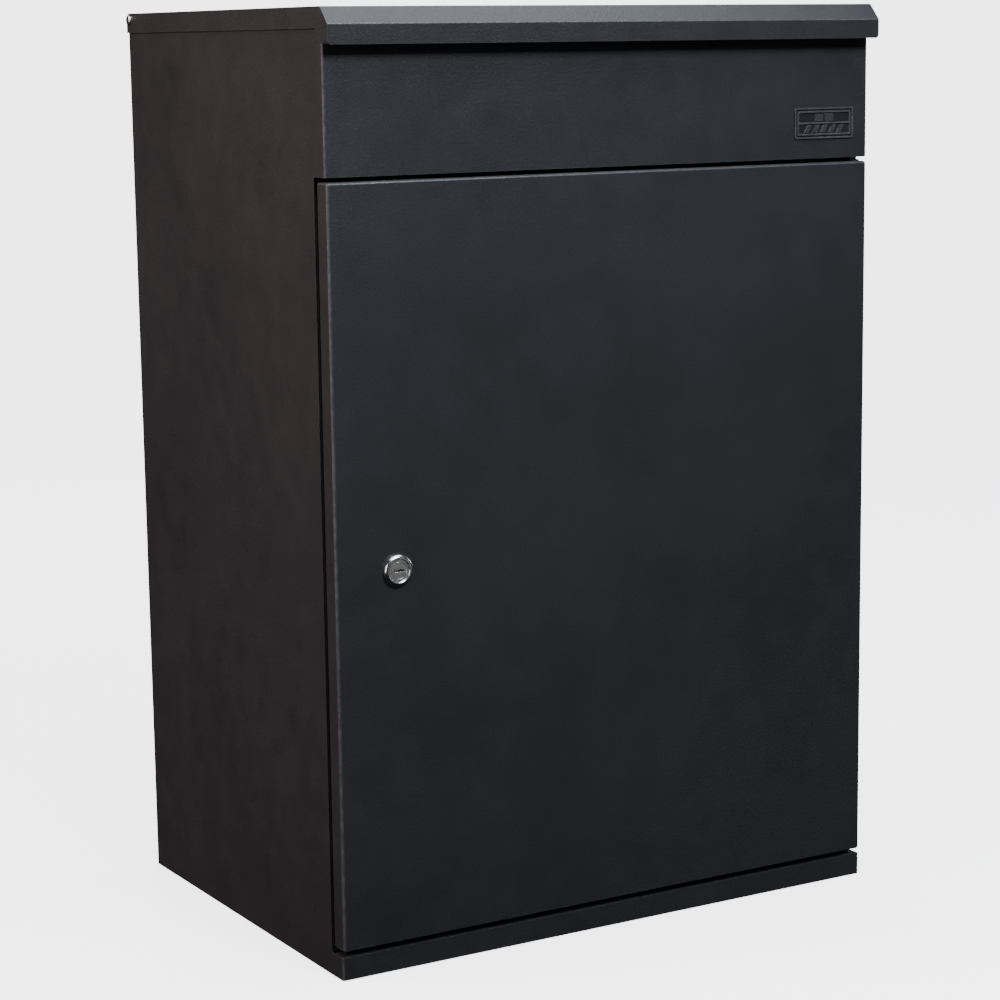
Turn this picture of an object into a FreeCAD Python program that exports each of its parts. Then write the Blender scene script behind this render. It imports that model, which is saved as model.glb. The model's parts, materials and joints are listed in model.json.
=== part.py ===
"""Parcel drop box: a wall-mounted sheet-steel box with a hinged lid, a locking door and a drop flap.

Axes: +X to the right as seen from the front, +Y to the back, +Z up. The origin is the centre of
the box's footprint at its underside. Lengths are millimetres and angles degrees.
"""
import FreeCAD, Part
import os
import Sketcher

DOC = FreeCAD.newDocument("ParcelDropBox")
SHEET = DOC.addObject("Spreadsheet::Sheet", "Dims")

# Driving dimensions. Names ending in _y are measured back from the fascia's front face.
DIMENSIONS = {
    "body_width": 440.0,
    "body_depth": 313.0,
    "box_height": 650.0,
    "sheet": 1.2,
    "bend": 1.6,
    "hole_fit": 0.05,
    "moving_gap": 0.3,
    "weld_lap": 0.5,
    # casing openings and inward folds
    "fascia_bottom": 541.0,
    "base_height": 16.0,
    "notch_depth": 16.0,
    "corner_return": 3.0,
    "fascia_top_drop": 6.0,
    "ear_reach": 3.2,
    "ear_slot": 0.4,
    "fold_width": 14.0,
    "fascia_fold": 18.0,
    "fold_margin": 0.6,
    "rear_fold": 12.0,
    "tray_height": 12.0,
    "drain_radius": 2.5,
    "drain_inset": 40.0,
    "stile_front": 22.0,
    "stile_side": 24.0,
    "stile_top_drop": 12.0,
    "fixing_span_x": 340.0,
    "fixing_span_z": 500.0,
    "fixing_low": 85.0,
    "fixing_radius": 4.2,
    # lid
    "lip_reach": 11.0,
    "lip_drop": 24.3,
    "crease_drop": 11.0,
    "slope_run": 10.0,
    "lid_flange_drop": 14.0,
    "lid_tab_rear_y": 5.5,
    "lid_tab_low_y": -2.0,
    "lip_corner": 2.6,
    "lid_bend": 2.2,
    "lid_pivot_inset": 4.8,
    "lid_skirt_tail": 0.1,
    "lid_pin_radius": 1.75,
    "lid_pin_head": 3.6,
    "lid_pin_head_length": 1.5,
    "lid_pin_crown": 1.1,
    "lid_pin_tail": 0.7,
    "retainer_radius": 3.2,
    "retainer_length": 0.8,
    "buffer_radius": 4.0,
    "lid_buffer_x": 150.0,
    "lid_buffer_y": 9.5,
    # door
    "door_bottom": 20.0,
    "door_top": 538.0,
    "door_proud": 1.2,
    "door_rear_y": 12.5,
    "door_inset": 0.7,
    "door_bend": 2.0,
    "door_return": 12.0,
    "door_pivot_inset": 6.0,
    "door_pivot_y": 8.0,
    "door_pin_radius": 2.5,
    "door_pin_head": 4.0,
    "door_pin_head_length": 1.5,
    "door_pin_reach": 7.0,
    "bush_radius": 3.5,
    "bush_rim_radius": 4.5,
    "bush_rim": 1.0,
    "bush_length": 4.2,
    "stiffener_x": 30.0,
    "stiffener_width": 36.0,
    "stiffener_foot": 12.0,
    "stiffener_height": 10.0,
    "stiffener_margin": 22.0,
    "door_buffer_inset": 10.0,
    "door_buffer_end": 40.0,
    # cam lock
    "lock_x": -173.0,
    "lock_z": 279.0,
    "lock_head_radius": 11.0,
    "lock_head_length": 3.2,
    "lock_head_round": 2.3,
    "lock_recess_radius": 7.6,
    "lock_recess_round": 0.7,
    "lock_recess": 1.1,
    "lock_barrel_radius": 9.0,
    "lock_flat": 8.0,
    "lock_rear_y": 19.2,
    "plug_radius": 6.0,
    "plug_edge": 0.4,
    "key_slot_half": 4.0,
    "key_slot_width": 1.6,
    "key_slot_depth": 6.0,
    "nut_flats": 22.0,
    "nut_length": 5.5,
    "cam_length": 41.0,
    "cam_width": 14.0,
    "cam_corner": 6.0,
    "cam_thickness": 2.0,
    "tail_half": 3.5,
    "screw_radius": 2.0,
    "screw_depth": 9.0,
    "screw_head": 3.8,
    "screw_head_length": 2.2,
    "screw_head_round": 1.0,
    "washer_radius": 5.5,
    "washer_length": 1.0,
    # drop flap and its lift links
    "flap_pivot_y": 298.2,
    "flap_pivot_z": 549.2,
    "flap_half_width": 212.5,
    "flap_length": 275.0,
    "flap_top": 6.0,
    "flap_offset": 6.0,
    "flap_hem": 12.0,
    "gusset_length": 90.0,
    "gusset_nose": 7.0,
    "gusset_nose_round": 5.5,
    "rod_radius": 3.0,
    "rod_tail": 3.4,
    "rod_edge": 0.6,
    "crank_back": 60.0,
    "crank_down": 12.0,
    "ear_thickness": 1.5,
    "link_inner_x": 213.1,
    "link_thickness": 2.0,
    "link_radius": 6.0,
    "link_pin_radius": 2.5,
    "link_pin_head": 4.0,
    "link_pin_tail": 1.6,
    "open_pivot_play": 0.3,
    "lug_half": 15.0,
    "lug_tip_half": 6.0,
    "lug_tip_drop": 6.7,
    "lug_tip_round": 4.0,
    "lug_foot": 19.0,
    "bracket_half": 15.0,
    "bracket_nose": 9.0,
    "bracket_nose_round": 8.0,
    "bracket_foot": 24.0,
    "rod_clip_radius": 5.0,
    "link_clip_radius": 4.5,
    "clip_length": 0.9,
    # badge
    "badge_x": 181.0,
    "badge_z": 566.0,
    "badge_width": 52.0,
    "badge_height": 22.0,
    "badge_corner": 1.8,
    "badge_thickness": 1.1,
    "badge_bead": 1.2,
    "badge_groove": 1.2,
    "badge_recess": 0.8,
    "badge_round": 0.35,
    "sign_margin": 0.9,
    "sign_half": 8.0,
    "sign_slit": 2.0,
    "sign_raise": 0.55,
    "bar_pitch": 7.2,
    "bar_width": 3.6,
    "bar_slant": 3.0,
}
for row, (alias, number) in enumerate(DIMENSIONS.items(), start=1):
    SHEET.set(f"A{row}", alias)
    SHEET.set(f"B{row}", str(number))
    SHEET.setAlias(f"B{row}", alias)
DOC.recompute()


def value(expression):
    """The number that an expression gives now."""
    return float(SHEET.evalExpression(str(expression)))


def back(distance):
    """Y of a point that lies a distance behind the fascia's front face."""
    return f"((Dims.lip_reach - Dims.body_depth) / 2 + ({distance}))"


HALF = "(Dims.body_width / 2)"
INNER = f"({HALF} - Dims.sheet)"
TOP = "Dims.box_height"
FRONT = back("0")
REAR = back("Dims.body_depth")
LID_HALF = f"({HALF} + Dims.moving_gap + Dims.sheet)"
LID_INNER = f"({HALF} + Dims.moving_gap)"
LID_UNDER = f"({TOP} - Dims.sheet)"
WALL_TOP = f"({TOP} - Dims.lid_pivot_inset + Dims.ear_reach - Dims.lid_skirt_tail)"
FASCIA_TOP = f"({TOP} - Dims.fascia_top_drop)"
LID_PIVOT = (f"({REAR} - Dims.lid_pivot_inset)", f"({TOP} - Dims.lid_pivot_inset)")
FLAP_PIVOT = (back("Dims.flap_pivot_y"), "Dims.flap_pivot_z")
LINK_TOP = (f"({LID_PIVOT[0]} - Dims.crank_back)", f"({LID_PIVOT[1]} - Dims.crank_down)")
LINK_FOOT = (f"({FLAP_PIVOT[0]} - Dims.crank_back)", f"({FLAP_PIVOT[1]} - Dims.crank_down)")
DOOR_HALF = f"({HALF} - Dims.door_inset)"
DOOR_FRONT = back("-Dims.door_proud")
DOOR_INSIDE = back("Dims.sheet - Dims.door_proud")
DOOR_REAR = back("Dims.door_rear_y")
DOOR_PIVOT = (f"({HALF} - Dims.door_pivot_inset)", back("Dims.door_pivot_y"))
LOCK = ("Dims.lock_x", "Dims.lock_z")
EAR_OUTER = "Dims.flap_half_width"
EAR_INNER = f"({EAR_OUTER} - Dims.ear_thickness)"

PLANES = {"X": "YZ_Plane", "Y": "XZ_Plane", "Z": "XY_Plane"}
# how far a cut runs past the material, a length beyond the whole box, and a hair's breadth
PAST = 5
FAR = 1000
NEAR = 0.01
# slanted bars in the badge's lower field
BADGE_BARS = 5


def circle(first, second, radius):
    """A round outline, for the profiles of a prism."""
    return ("circle", str(first), str(second), str(radius))


def rectangle(low_first, low_second, high_first, high_second):
    """A rectangular outline from two opposite corners."""
    return [(low_first, low_second), (high_first, low_second),
            (high_first, high_second), (low_first, high_second)]


def new_body(label):
    """An empty body whose label names the sub-part."""
    body = DOC.addObject("PartDesign::Body", label)
    body.Label = label
    return body


def draw(body, axis, offset, outlines):
    """A sketch square to an axis of the body, with every corner placed by an expression."""
    sketch = body.newObject("Sketcher::SketchObject", f"{body.Name}_sketch")
    plane = [item for item in body.Origin.OriginFeatures if item.Role == PLANES[axis]][0]
    sketch.AttachmentSupport = [(plane, "")]
    sketch.MapMode = "FlatFace"
    sketch.setExpression("AttachmentOffset.Base.z", offset)

    def fix(kind, geometry, point, expression):
        datum = value(expression)
        constraint = Sketcher.Constraint(kind, -1, 1, geometry, point, datum)
        index = sketch.addConstraint(constraint)
        sketch.setExpression(f"Constraints[{index}]", expression)

    for outline in outlines:
        start = sketch.GeometryCount
        if outline[0] == "circle":
            _, first, second, radius = outline
            centre = FreeCAD.Vector(value(first), value(second), 0)
            normal = FreeCAD.Vector(0, 0, 1)
            sketch.addGeometry(Part.Circle(centre, normal, value(radius)), False)
            fix("DistanceX", start, 3, first)
            fix("DistanceY", start, 3, second)
            index = sketch.addConstraint(Sketcher.Constraint("Radius", start, value(radius)))
            sketch.setExpression(f"Constraints[{index}]", radius)
            continue
        corners = [(str(first), str(second)) for first, second in outline]
        spots = [FreeCAD.Vector(value(first), value(second), 0) for first, second in corners]
        count = len(corners)
        for number in range(count):
            line = Part.LineSegment(spots[number], spots[(number + 1) % count])
            sketch.addGeometry(line, False)
        for number in range(count):
            follower = start + (number + 1) % count
            sketch.addConstraint(Sketcher.Constraint("Coincident", start + number, 2, follower, 1))
        for number, (first, second) in enumerate(corners):
            fix("DistanceX", start + number, 1, first)
            fix("DistanceY", start + number, 1, second)
    return sketch


def prism(body, kind, axis, low, high, outlines):
    """Add ("Pad") or cut ("Pocket") a prism that runs from low to high along an axis.

    A pad grows along its sketch's normal and a pocket against it, and the normal of a sketch
    square to Y points to -Y, so the sketch stands at the end that the feature starts from.
    """
    starts_low = (kind == "Pad") == (axis != "Y")
    offset = low if starts_low else high
    if axis == "Y":
        offset = f"-({offset})"
    before = body.Shape.Volume if body.Tip else 0.0
    sketch = draw(body, axis, str(offset), outlines)
    feature = body.newObject(f"PartDesign::{kind}", f"{body.Name}_{kind.lower()}")
    feature.Profile = sketch
    feature.setExpression("Length", f"({high}) - ({low})")
    DOC.recompute()
    grown = body.Shape.Volume - before
    if (grown > 0) != (kind == "Pad") or abs(grown) < NEAR:
        raise RuntimeError(f"{feature.Name} changed nothing")
    return feature


def add(body, axis, low, high, *outlines):
    """Add material between two planes."""
    return prism(body, "Pad", axis, low, high, outlines)


def cut(body, axis, low, high, *outlines):
    """Remove material between two planes."""
    return prism(body, "Pocket", axis, low, high, outlines)


def cut_through(body, axis, *outlines):
    """Remove material right through the body along an axis."""
    return prism(body, "Pocket", axis, -FAR, FAR, outlines)


def edges_at(shape, **places):
    """Names of the edges that lie wholly at the given x, y or z; a list gives alternatives."""
    def fits(edge):
        for letter, wanted in places.items():
            options = wanted if isinstance(wanted, (list, tuple)) else [wanted]
            spots = [getattr(vertex.Point, letter) for vertex in edge.Vertexes]
            if not any(all(abs(spot - value(option)) < NEAR for spot in spots)
                       for option in options):
                return False
        return True

    return [f"Edge{number}" for number, edge in enumerate(shape.Edges, start=1)
            if edge.Vertexes and fits(edge)]


def round_edges(body, radius, **places):
    """Fillet the edges found at the given coordinates."""
    base = body.Tip
    names = edges_at(base.Shape, **places)
    if not names:
        raise RuntimeError(f"{body.Label} has no edge at {places}")
    feature = body.newObject("PartDesign::Fillet", f"{body.Name}_fillet")
    feature.Base = (base, names)
    feature.setExpression("Radius", str(radius))
    DOC.recompute()
    if "Invalid" in feature.State or feature.Shape.isNull():
        raise RuntimeError(f"{body.Label} has a fillet that failed at {places}: {names}")
    return feature


def mirrored_pair(low, high, side):
    """Low and high along X for a piece on the right (side 1) or the left (side -1)."""
    return (low, high) if side > 0 else (f"-({high})", f"-({low})")


def discs(label, axis, spans, outer, bore, centres):
    """Round studs, or rings when there is a bore, as the separate solids of one sub-part."""
    directions = {"X": (1, 0, 0), "Y": (0, 1, 0), "Z": (0, 0, 1)}
    solids = []
    for (low, high), (first, second) in zip(spans, centres):
        start = {"X": (low, first, second), "Y": (first, low, second), "Z": (first, second, low)}
        origin = FreeCAD.Vector(*[value(number) for number in start[axis]])
        direction = FreeCAD.Vector(*directions[axis])
        length = value(high) - value(low)
        solid = Part.makeCylinder(value(outer), length, origin, direction)
        if bore:
            hole = Part.makeCylinder(value(bore), length, origin, direction)
            solid = solid.cut(hole)
        solids.append(solid)
    feature = DOC.addObject("Part::Feature", label)
    feature.Label = label
    feature.Shape = Part.makeCompound(solids)
    feature.Placement = FreeCAD.Placement()
    return feature


# ---------------------------------------------------------------- cabinet

def make_casing():
    """One folded sheet: both side walls, the fascia above the door and the base strip below it."""
    body = new_body("casing")
    outline = [(f"-{HALF}", FRONT), (HALF, FRONT), (HALF, REAR), (INNER, REAR),
               (INNER, back("Dims.sheet")), (f"-{INNER}", back("Dims.sheet")),
               (f"-{INNER}", REAR), (f"-{HALF}", REAR)]
    add(body, "Z", 0, WALL_TOP, outline)
    round_edges(body, "Dims.bend", x=[HALF, f"-{HALF}"], y=FRONT)
    round_edges(body, "Dims.bend - Dims.sheet", x=[INNER, f"-{INNER}"], y=back("Dims.sheet"))
    # the doorway takes the front between fascia and base strip and notches both side walls
    cut_through(body, "X", rectangle(back(-PAST), "Dims.base_height",
                                     back("Dims.notch_depth"), "Dims.fascia_bottom"))
    between_walls = f"({HALF} - Dims.corner_return)"
    cut(body, "X", f"-{between_walls}", between_walls,
        rectangle(back(-PAST), FASCIA_TOP, back(PAST), f"{TOP} + {PAST}"))
    # each wall ends in a rounded ear around the lid's pivot, clear of the lid's rear bend
    ear_rear = f"({LID_PIVOT[0]} + Dims.ear_reach)"
    ear_low = f"({LID_PIVOT[1]} - Dims.ear_reach)"
    shoulder = f"({LID_PIVOT[1]} - Dims.lid_pivot_inset - Dims.ear_slot)"
    slot_front = f"({LID_PIVOT[0]} - Dims.moving_gap)"
    cut_through(body, "X", [(slot_front, shoulder), (f"{REAR} + {PAST}", shoulder),
                            (f"{REAR} + {PAST}", f"{TOP} + {PAST}"),
                            (ear_rear, f"{TOP} + {PAST}"), (ear_rear, ear_low),
                            (slot_front, ear_low)])
    round_edges(body, "Dims.ear_reach - Dims.lid_skirt_tail", y=ear_rear, z=[ear_low, WALL_TOP])
    cut_through(body, "X", circle(*LID_PIVOT, "Dims.lid_pin_radius + Dims.hole_fit"))
    # inward folds along the fascia's two edges and the base strip's top edge
    fold_half = f"({INNER} - Dims.fold_margin)"
    half_sheet = back("Dims.sheet / 2")
    add(body, "Z", f"{FASCIA_TOP} - Dims.sheet", FASCIA_TOP,
        rectangle(f"-{fold_half}", half_sheet, fold_half, back("Dims.fascia_fold")))
    add(body, "Z", "Dims.fascia_bottom", "Dims.fascia_bottom + Dims.sheet",
        rectangle(f"-{fold_half}", half_sheet, fold_half, back("Dims.fold_width")))
    add(body, "Z", "Dims.base_height - Dims.sheet", "Dims.base_height",
        rectangle(f"-{fold_half}", half_sheet, fold_half, back("Dims.fold_width")))
    cut(body, "Z", PAST, f"Dims.fascia_bottom + {PAST}", circle(*DOOR_PIVOT, "Dims.door_pin_radius"))
    return body


def make_rear_panel():
    """The back sheet with forward folds against the side walls and a fold along its top."""
    body = new_body("rear_panel")
    fold_front = f"({REAR} - Dims.rear_fold)"
    skin = f"({REAR} - Dims.sheet)"
    leg = f"({INNER} - Dims.sheet)"
    panel_top = f"({LID_PIVOT[1]} - Dims.lid_pivot_inset - Dims.ear_slot)"
    outline = [(f"-{INNER}", REAR), (f"-{INNER}", fold_front), (f"-{leg}", fold_front),
               (f"-{leg}", skin), (leg, skin), (leg, fold_front), (INNER, fold_front),
               (INNER, REAR)]
    add(body, "Z", 0, panel_top, outline)
    # the folds stop above the floor tray
    for side in (1, -1):
        low, high = mirrored_pair(leg, f"({INNER} + {PAST})", side)
        cut(body, "Z", -PAST, "Dims.tray_height + Dims.fold_margin",
            rectangle(low, f"{fold_front} - {PAST}", high, skin))
    add(body, "Z", f"{panel_top} - Dims.sheet", panel_top,
        rectangle(f"-({leg} - Dims.fold_margin)", fold_front, f"{leg} - Dims.fold_margin",
                  f"{skin} + Dims.sheet / 2"))
    low_z = "Dims.fixing_low"
    high_z = "(Dims.fixing_low + Dims.fixing_span_z)"
    for spot_z in (low_z, high_z):
        for sign in ("-", ""):
            cut(body, "Y", f"{REAR} - {PAST}", f"{REAR} + {PAST}",
                circle(f"{sign}Dims.fixing_span_x / 2", spot_z, "Dims.fixing_radius"))
    return body


def make_floor_pan():
    """The bottom tray, its four edges folded up and welded inside the walls, with drain holes."""
    body = new_body("floor_pan")
    low_y = back("Dims.sheet")
    high_y = f"({REAR} - Dims.sheet)"
    add(body, "Z", 0, "Dims.tray_height", rectangle(f"-{INNER}", low_y, INNER, high_y))
    round_edges(body, "Dims.bend", x=[INNER, f"-{INNER}"], y=[low_y, high_y])
    cut(body, "Z", "Dims.sheet", f"Dims.tray_height + {PAST}",
        rectangle(f"-({INNER} - Dims.sheet)", f"{low_y} + Dims.sheet",
                  f"{INNER} - Dims.sheet", f"{high_y} - Dims.sheet"))
    drain_x = f"({INNER} - Dims.drain_inset)"
    for spot_y in (f"{low_y} + Dims.drain_inset", f"{high_y} - Dims.drain_inset"):
        cut(body, "Z", -PAST, f"Dims.sheet + {PAST}",
            circle(drain_x, spot_y, "Dims.drain_radius"),
            circle(f"-{drain_x}", spot_y, "Dims.drain_radius"))
    return body


def make_stile(label, side):
    """An angle welded inside a side wall behind the doorway; the left one is the cam's strike."""
    body = new_body(label)
    front = back("Dims.notch_depth")
    wall_leg = f"({INNER} - Dims.sheet)"
    front_leg = f"({INNER} - Dims.stile_front)"
    outline = [(INNER, front), (front_leg, front), (front_leg, f"{front} + Dims.sheet"),
               (wall_leg, f"{front} + Dims.sheet"), (wall_leg, f"{front} + Dims.stile_side"),
               (INNER, f"{front} + Dims.stile_side")]
    if side < 0:
        outline = [(f"-({first})", second) for first, second in outline]
    add(body, "Z", "Dims.base_height + Dims.moving_gap",
        "Dims.fascia_bottom - Dims.stile_top_drop", outline)
    return body


def make_badge():
    """A small raised plate on the fascia: a beaded double frame, with a rib between two fields.

    The upper field bears a plain sign of a taped parcel and the lower one a row of slanted bars.
    """
    body = new_body("badge_plate")

    def inset(margin):
        return (f"(Dims.badge_x - Dims.badge_width / 2 + {margin})",
                f"(Dims.badge_z - Dims.badge_height / 2 + {margin})",
                f"(Dims.badge_x + Dims.badge_width / 2 - {margin})",
                f"(Dims.badge_z + Dims.badge_height / 2 - {margin})")

    face = back("-Dims.badge_thickness")
    floor = back("Dims.badge_recess - Dims.badge_thickness")
    left, low, right, high = inset(0)
    add(body, "Y", face, FRONT, rectangle(left, low, right, high))
    round_edges(body, "Dims.badge_corner", x=[left, right], z=[low, high])
    left, low, right, high = inset("(2 * Dims.badge_bead + Dims.badge_groove)")
    lower = (low, "(Dims.badge_z - Dims.badge_bead / 2)")
    upper = ("(Dims.badge_z + Dims.badge_bead / 2)", high)
    cut(body, "Y", f"{face} - {PAST}", floor,
        rectangle(*inset("Dims.badge_bead")),
        rectangle(*inset("(Dims.badge_bead + Dims.badge_groove)")))
    cut(body, "Y", f"{face} - {PAST}", floor,
        rectangle(left, lower[0], right, lower[1]),
        rectangle(left, upper[0], right, upper[1]))
    round_edges(body, "Dims.badge_round", y=face)
    sign_low = f"({upper[0]} + Dims.sign_margin)"
    sign_high = f"({upper[1]} - Dims.sign_margin)"
    signs = [rectangle("Dims.badge_x - Dims.sign_half", sign_low,
                       "Dims.badge_x - Dims.sign_slit / 2", sign_high),
             rectangle("Dims.badge_x + Dims.sign_slit / 2", sign_low,
                       "Dims.badge_x + Dims.sign_half", sign_high)]
    bar_low = f"({lower[0]} + Dims.sign_margin)"
    bar_high = f"({lower[1]} - Dims.sign_margin)"
    for number in range(BADGE_BARS):
        middle = f"(Dims.badge_x + ({2 * number} - {BADGE_BARS - 1}) * Dims.bar_pitch / 2)"
        foot = f"({middle} - Dims.bar_slant / 2)"
        head = f"({middle} + Dims.bar_slant / 2)"
        signs.append([(f"{foot} - Dims.bar_width / 2", bar_low),
                      (f"{foot} + Dims.bar_width / 2", bar_low),
                      (f"{head} + Dims.bar_width / 2", bar_high),
                      (f"{head} - Dims.bar_width / 2", bar_high)])
    add(body, "Y", f"{floor} - Dims.sign_raise", f"{floor} + Dims.weld_lap / 2", *signs)
    return body


def make_lid_buffers():
    """Two rubber studs on the fascia's top fold, which the closed lid rests over."""
    spot_y = back("Dims.lid_buffer_y")
    return discs("lid_buffers", "Z", [(FASCIA_TOP, f"{LID_UNDER} - Dims.moving_gap")] * 2,
                 "Dims.buffer_radius", None,
                 [("Dims.lid_buffer_x", spot_y), ("-Dims.lid_buffer_x", spot_y)])


def make_door_buffers():
    """Three rubber studs on the left stile, which the closed door comes up against."""
    spot_x = f"-({INNER} - Dims.door_buffer_inset)"
    lowest = "(Dims.door_bottom + Dims.door_buffer_end)"
    highest = "(Dims.door_top - Dims.door_buffer_end)"
    above_lock = f"((Dims.lock_z + {highest}) / 2)"
    spots = [(spot_x, lowest), (spot_x, above_lock), (spot_x, highest)]
    spans = [(f"{DOOR_REAR} + Dims.moving_gap", back("Dims.notch_depth"))] * 3
    return discs("door_buffers", "Y", spans, "Dims.buffer_radius", None, spots)


# ---------------------------------------------------------------- lid

def make_lid():
    """A shallow cap over the walls, with a sloped and lipped front and a bend round its pivot."""
    body = new_body("lid")
    lip = f"({FRONT} - Dims.lip_reach)"
    lip_low = f"({TOP} - Dims.lip_drop)"
    crease = f"({TOP} - Dims.crease_drop)"
    brow = f"({lip} + Dims.slope_run)"
    flange_low = f"({TOP} - Dims.lid_flange_drop)"
    outline = [(lip, lip_low), (lip, crease), (brow, TOP), (REAR, TOP), (REAR, flange_low),
               (back("Dims.lid_tab_rear_y"), flange_low), (back("Dims.lid_tab_low_y"), lip_low)]
    add(body, "X", f"-{LID_HALF}", LID_HALF, outline)
    round_edges(body, "Dims.lid_bend", y=lip, z=crease)
    round_edges(body, "Dims.lid_bend", y=brow, z=TOP)
    round_edges(body, "Dims.lip_corner", x=[LID_HALF, f"-{LID_HALF}"], z=lip_low)
    # the inside follows the outside one sheet thickness in; the slope's length sets its corners
    slope = "sqrt(Dims.slope_run^2 + Dims.crease_drop^2)"
    inner_crease = f"({crease} - Dims.sheet * ({slope} - Dims.crease_drop) / Dims.slope_run)"
    inner_brow = f"({brow} + Dims.sheet * ({slope} - Dims.slope_run) / Dims.crease_drop)"
    skirt_low = f"({LID_PIVOT[1]} - Dims.lid_skirt_tail)"
    beyond = f"({REAR} + {PAST})"
    beneath = f"({lip_low} - {PAST})"
    inside = [(f"{lip} + Dims.sheet", beneath), (f"{lip} + Dims.sheet", inner_crease),
              (inner_brow, LID_UNDER), (f"{REAR} - Dims.sheet", LID_UNDER),
              (f"{REAR} - Dims.sheet", skirt_low), (beyond, skirt_low), (beyond, beneath)]
    cut(body, "X", f"-{LID_INNER}", LID_INNER, inside)
    round_edges(body, "Dims.lid_bend - Dims.sheet", y=f"{lip} + Dims.sheet", z=inner_crease)
    round_edges(body, "Dims.lid_bend - Dims.sheet", y=inner_brow, z=LID_UNDER)
    round_edges(body, "Dims.lid_pivot_inset - Dims.sheet", y=f"{REAR} - Dims.sheet", z=LID_UNDER)
    round_edges(body, "Dims.lid_pivot_inset", y=REAR, z=TOP)
    cut_through(body, "X", circle(*LID_PIVOT, "Dims.lid_pin_radius"))
    return body


def make_lid_lug(label, side):
    """An angle under the lid that carries the top of a lift link."""
    body = new_body(label)
    centre_y, centre_z = LINK_TOP
    tip = f"({centre_z} - Dims.lug_tip_drop)"
    rear_tip = f"({centre_y} + Dims.lug_tip_half)"
    front_tip = f"({centre_y} - Dims.lug_tip_half)"
    rear_foot = f"({centre_y} + Dims.lug_half)"
    front_foot = f"({centre_y} - Dims.lug_half)"
    ear = mirrored_pair(EAR_INNER, EAR_OUTER, side)
    add(body, "X", *ear, [(front_foot, LID_UNDER), (front_tip, tip), (rear_tip, tip),
                          (rear_foot, LID_UNDER)])
    foot = mirrored_pair(f"({EAR_INNER} - Dims.lug_foot)", f"({EAR_INNER} + Dims.weld_lap)", side)
    add(body, "Z", f"{LID_UNDER} - Dims.ear_thickness", LID_UNDER,
        rectangle(foot[0], front_foot, foot[1], rear_foot))
    round_edges(body, "Dims.lug_tip_round", y=[front_tip, rear_tip], z=tip)
    cut_through(body, "X", circle(centre_y, centre_z, "Dims.link_pin_radius"))
    return body


def make_lid_pin(label, side):
    """A round-headed pin through the lid's side flange and the ear of the side wall."""
    body = new_body(label)
    head = mirrored_pair(LID_HALF, f"({LID_HALF} + Dims.lid_pin_head_length)", side)
    add(body, "X", *head, circle(*LID_PIVOT, "Dims.lid_pin_head"))
    crown = head[1] if side > 0 else head[0]
    round_edges(body, "Dims.lid_pin_crown", x=crown)
    inside = f"({INNER} - Dims.moving_gap - Dims.retainer_length - Dims.lid_pin_tail)"
    shank = mirrored_pair(inside, f"({LID_HALF} + Dims.weld_lap)", side)
    add(body, "X", *shank, circle(*LID_PIVOT, "Dims.lid_pin_radius"))
    return body


def make_lid_retainers():
    """Push-on rings that keep the lid's two pins in."""
    outer = f"({INNER} - Dims.moving_gap)"
    span = (f"{outer} - Dims.retainer_length", outer)
    return discs("lid_pin_retainers", "X", [mirrored_pair(*span, side) for side in (1, -1)],
                 "Dims.retainer_radius", "Dims.lid_pin_radius", [LID_PIVOT] * 2)


# ---------------------------------------------------------------- door

def make_door():
    """A pan with four folded edges; its left and right folds return behind the face."""
    body = new_body("door")
    corners_x = [DOOR_HALF, f"-{DOOR_HALF}"]
    corners_z = ["Dims.door_bottom", "Dims.door_top"]
    add(body, "Y", DOOR_FRONT, DOOR_REAR,
        rectangle(f"-{DOOR_HALF}", "Dims.door_bottom", DOOR_HALF, "Dims.door_top"))
    round_edges(body, "Dims.door_bend", x=corners_x, z=corners_z)
    round_edges(body, f"Dims.door_bend - {NEAR}", y=DOOR_FRONT)
    inner_x = f"({DOOR_HALF} - Dims.sheet)"
    inner_low = "(Dims.door_bottom + Dims.sheet)"
    inner_high = "(Dims.door_top - Dims.sheet)"
    return_skin = f"({DOOR_REAR} - Dims.sheet)"
    return_x = f"({DOOR_HALF} - Dims.door_return)"
    cut(body, "Y", DOOR_INSIDE, f"{DOOR_REAR} + {PAST}",
        rectangle(f"-{return_x}", inner_low, return_x, inner_high))
    cut(body, "Y", DOOR_INSIDE, return_skin,
        rectangle(f"-{inner_x}", inner_low, inner_x, inner_high))
    cut_through(body, "Y", circle(*LOCK, "Dims.lock_barrel_radius + Dims.hole_fit"))
    cut_through(body, "Z", circle(*DOOR_PIVOT, "Dims.bush_radius"))
    return body


def make_door_stiffener():
    """A hat-section rib welded down the inside of the door."""
    body = new_body("door_stiffener")
    middle = "Dims.stiffener_x"
    crown = "(Dims.stiffener_width / 2)"
    foot = f"({crown} + Dims.stiffener_foot)"
    base = DOOR_INSIDE
    height = "Dims.stiffener_height"
    thick = "Dims.sheet"
    right = [(f"{middle} + {foot}", base), (f"{middle} + {foot}", f"{base} + {thick}"),
             (f"{middle} + {crown}", f"{base} + {thick}"),
             (f"{middle} + {crown}", f"{base} + {height}")]
    left = [(f"{middle} - {crown}", f"{base} + {height}"),
            (f"{middle} - {crown}", f"{base} + {thick}"),
            (f"{middle} - {foot}", f"{base} + {thick}"), (f"{middle} - {foot}", base)]
    hollow = [(f"{middle} - {crown} + {thick}", base),
              (f"{middle} - {crown} + {thick}", f"{base} + {height} - {thick}"),
              (f"{middle} + {crown} - {thick}", f"{base} + {height} - {thick}"),
              (f"{middle} + {crown} - {thick}", base)]
    add(body, "Z", "Dims.door_bottom + Dims.stiffener_margin",
        "Dims.door_top - Dims.stiffener_margin", right + left + hollow)
    return body


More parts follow.
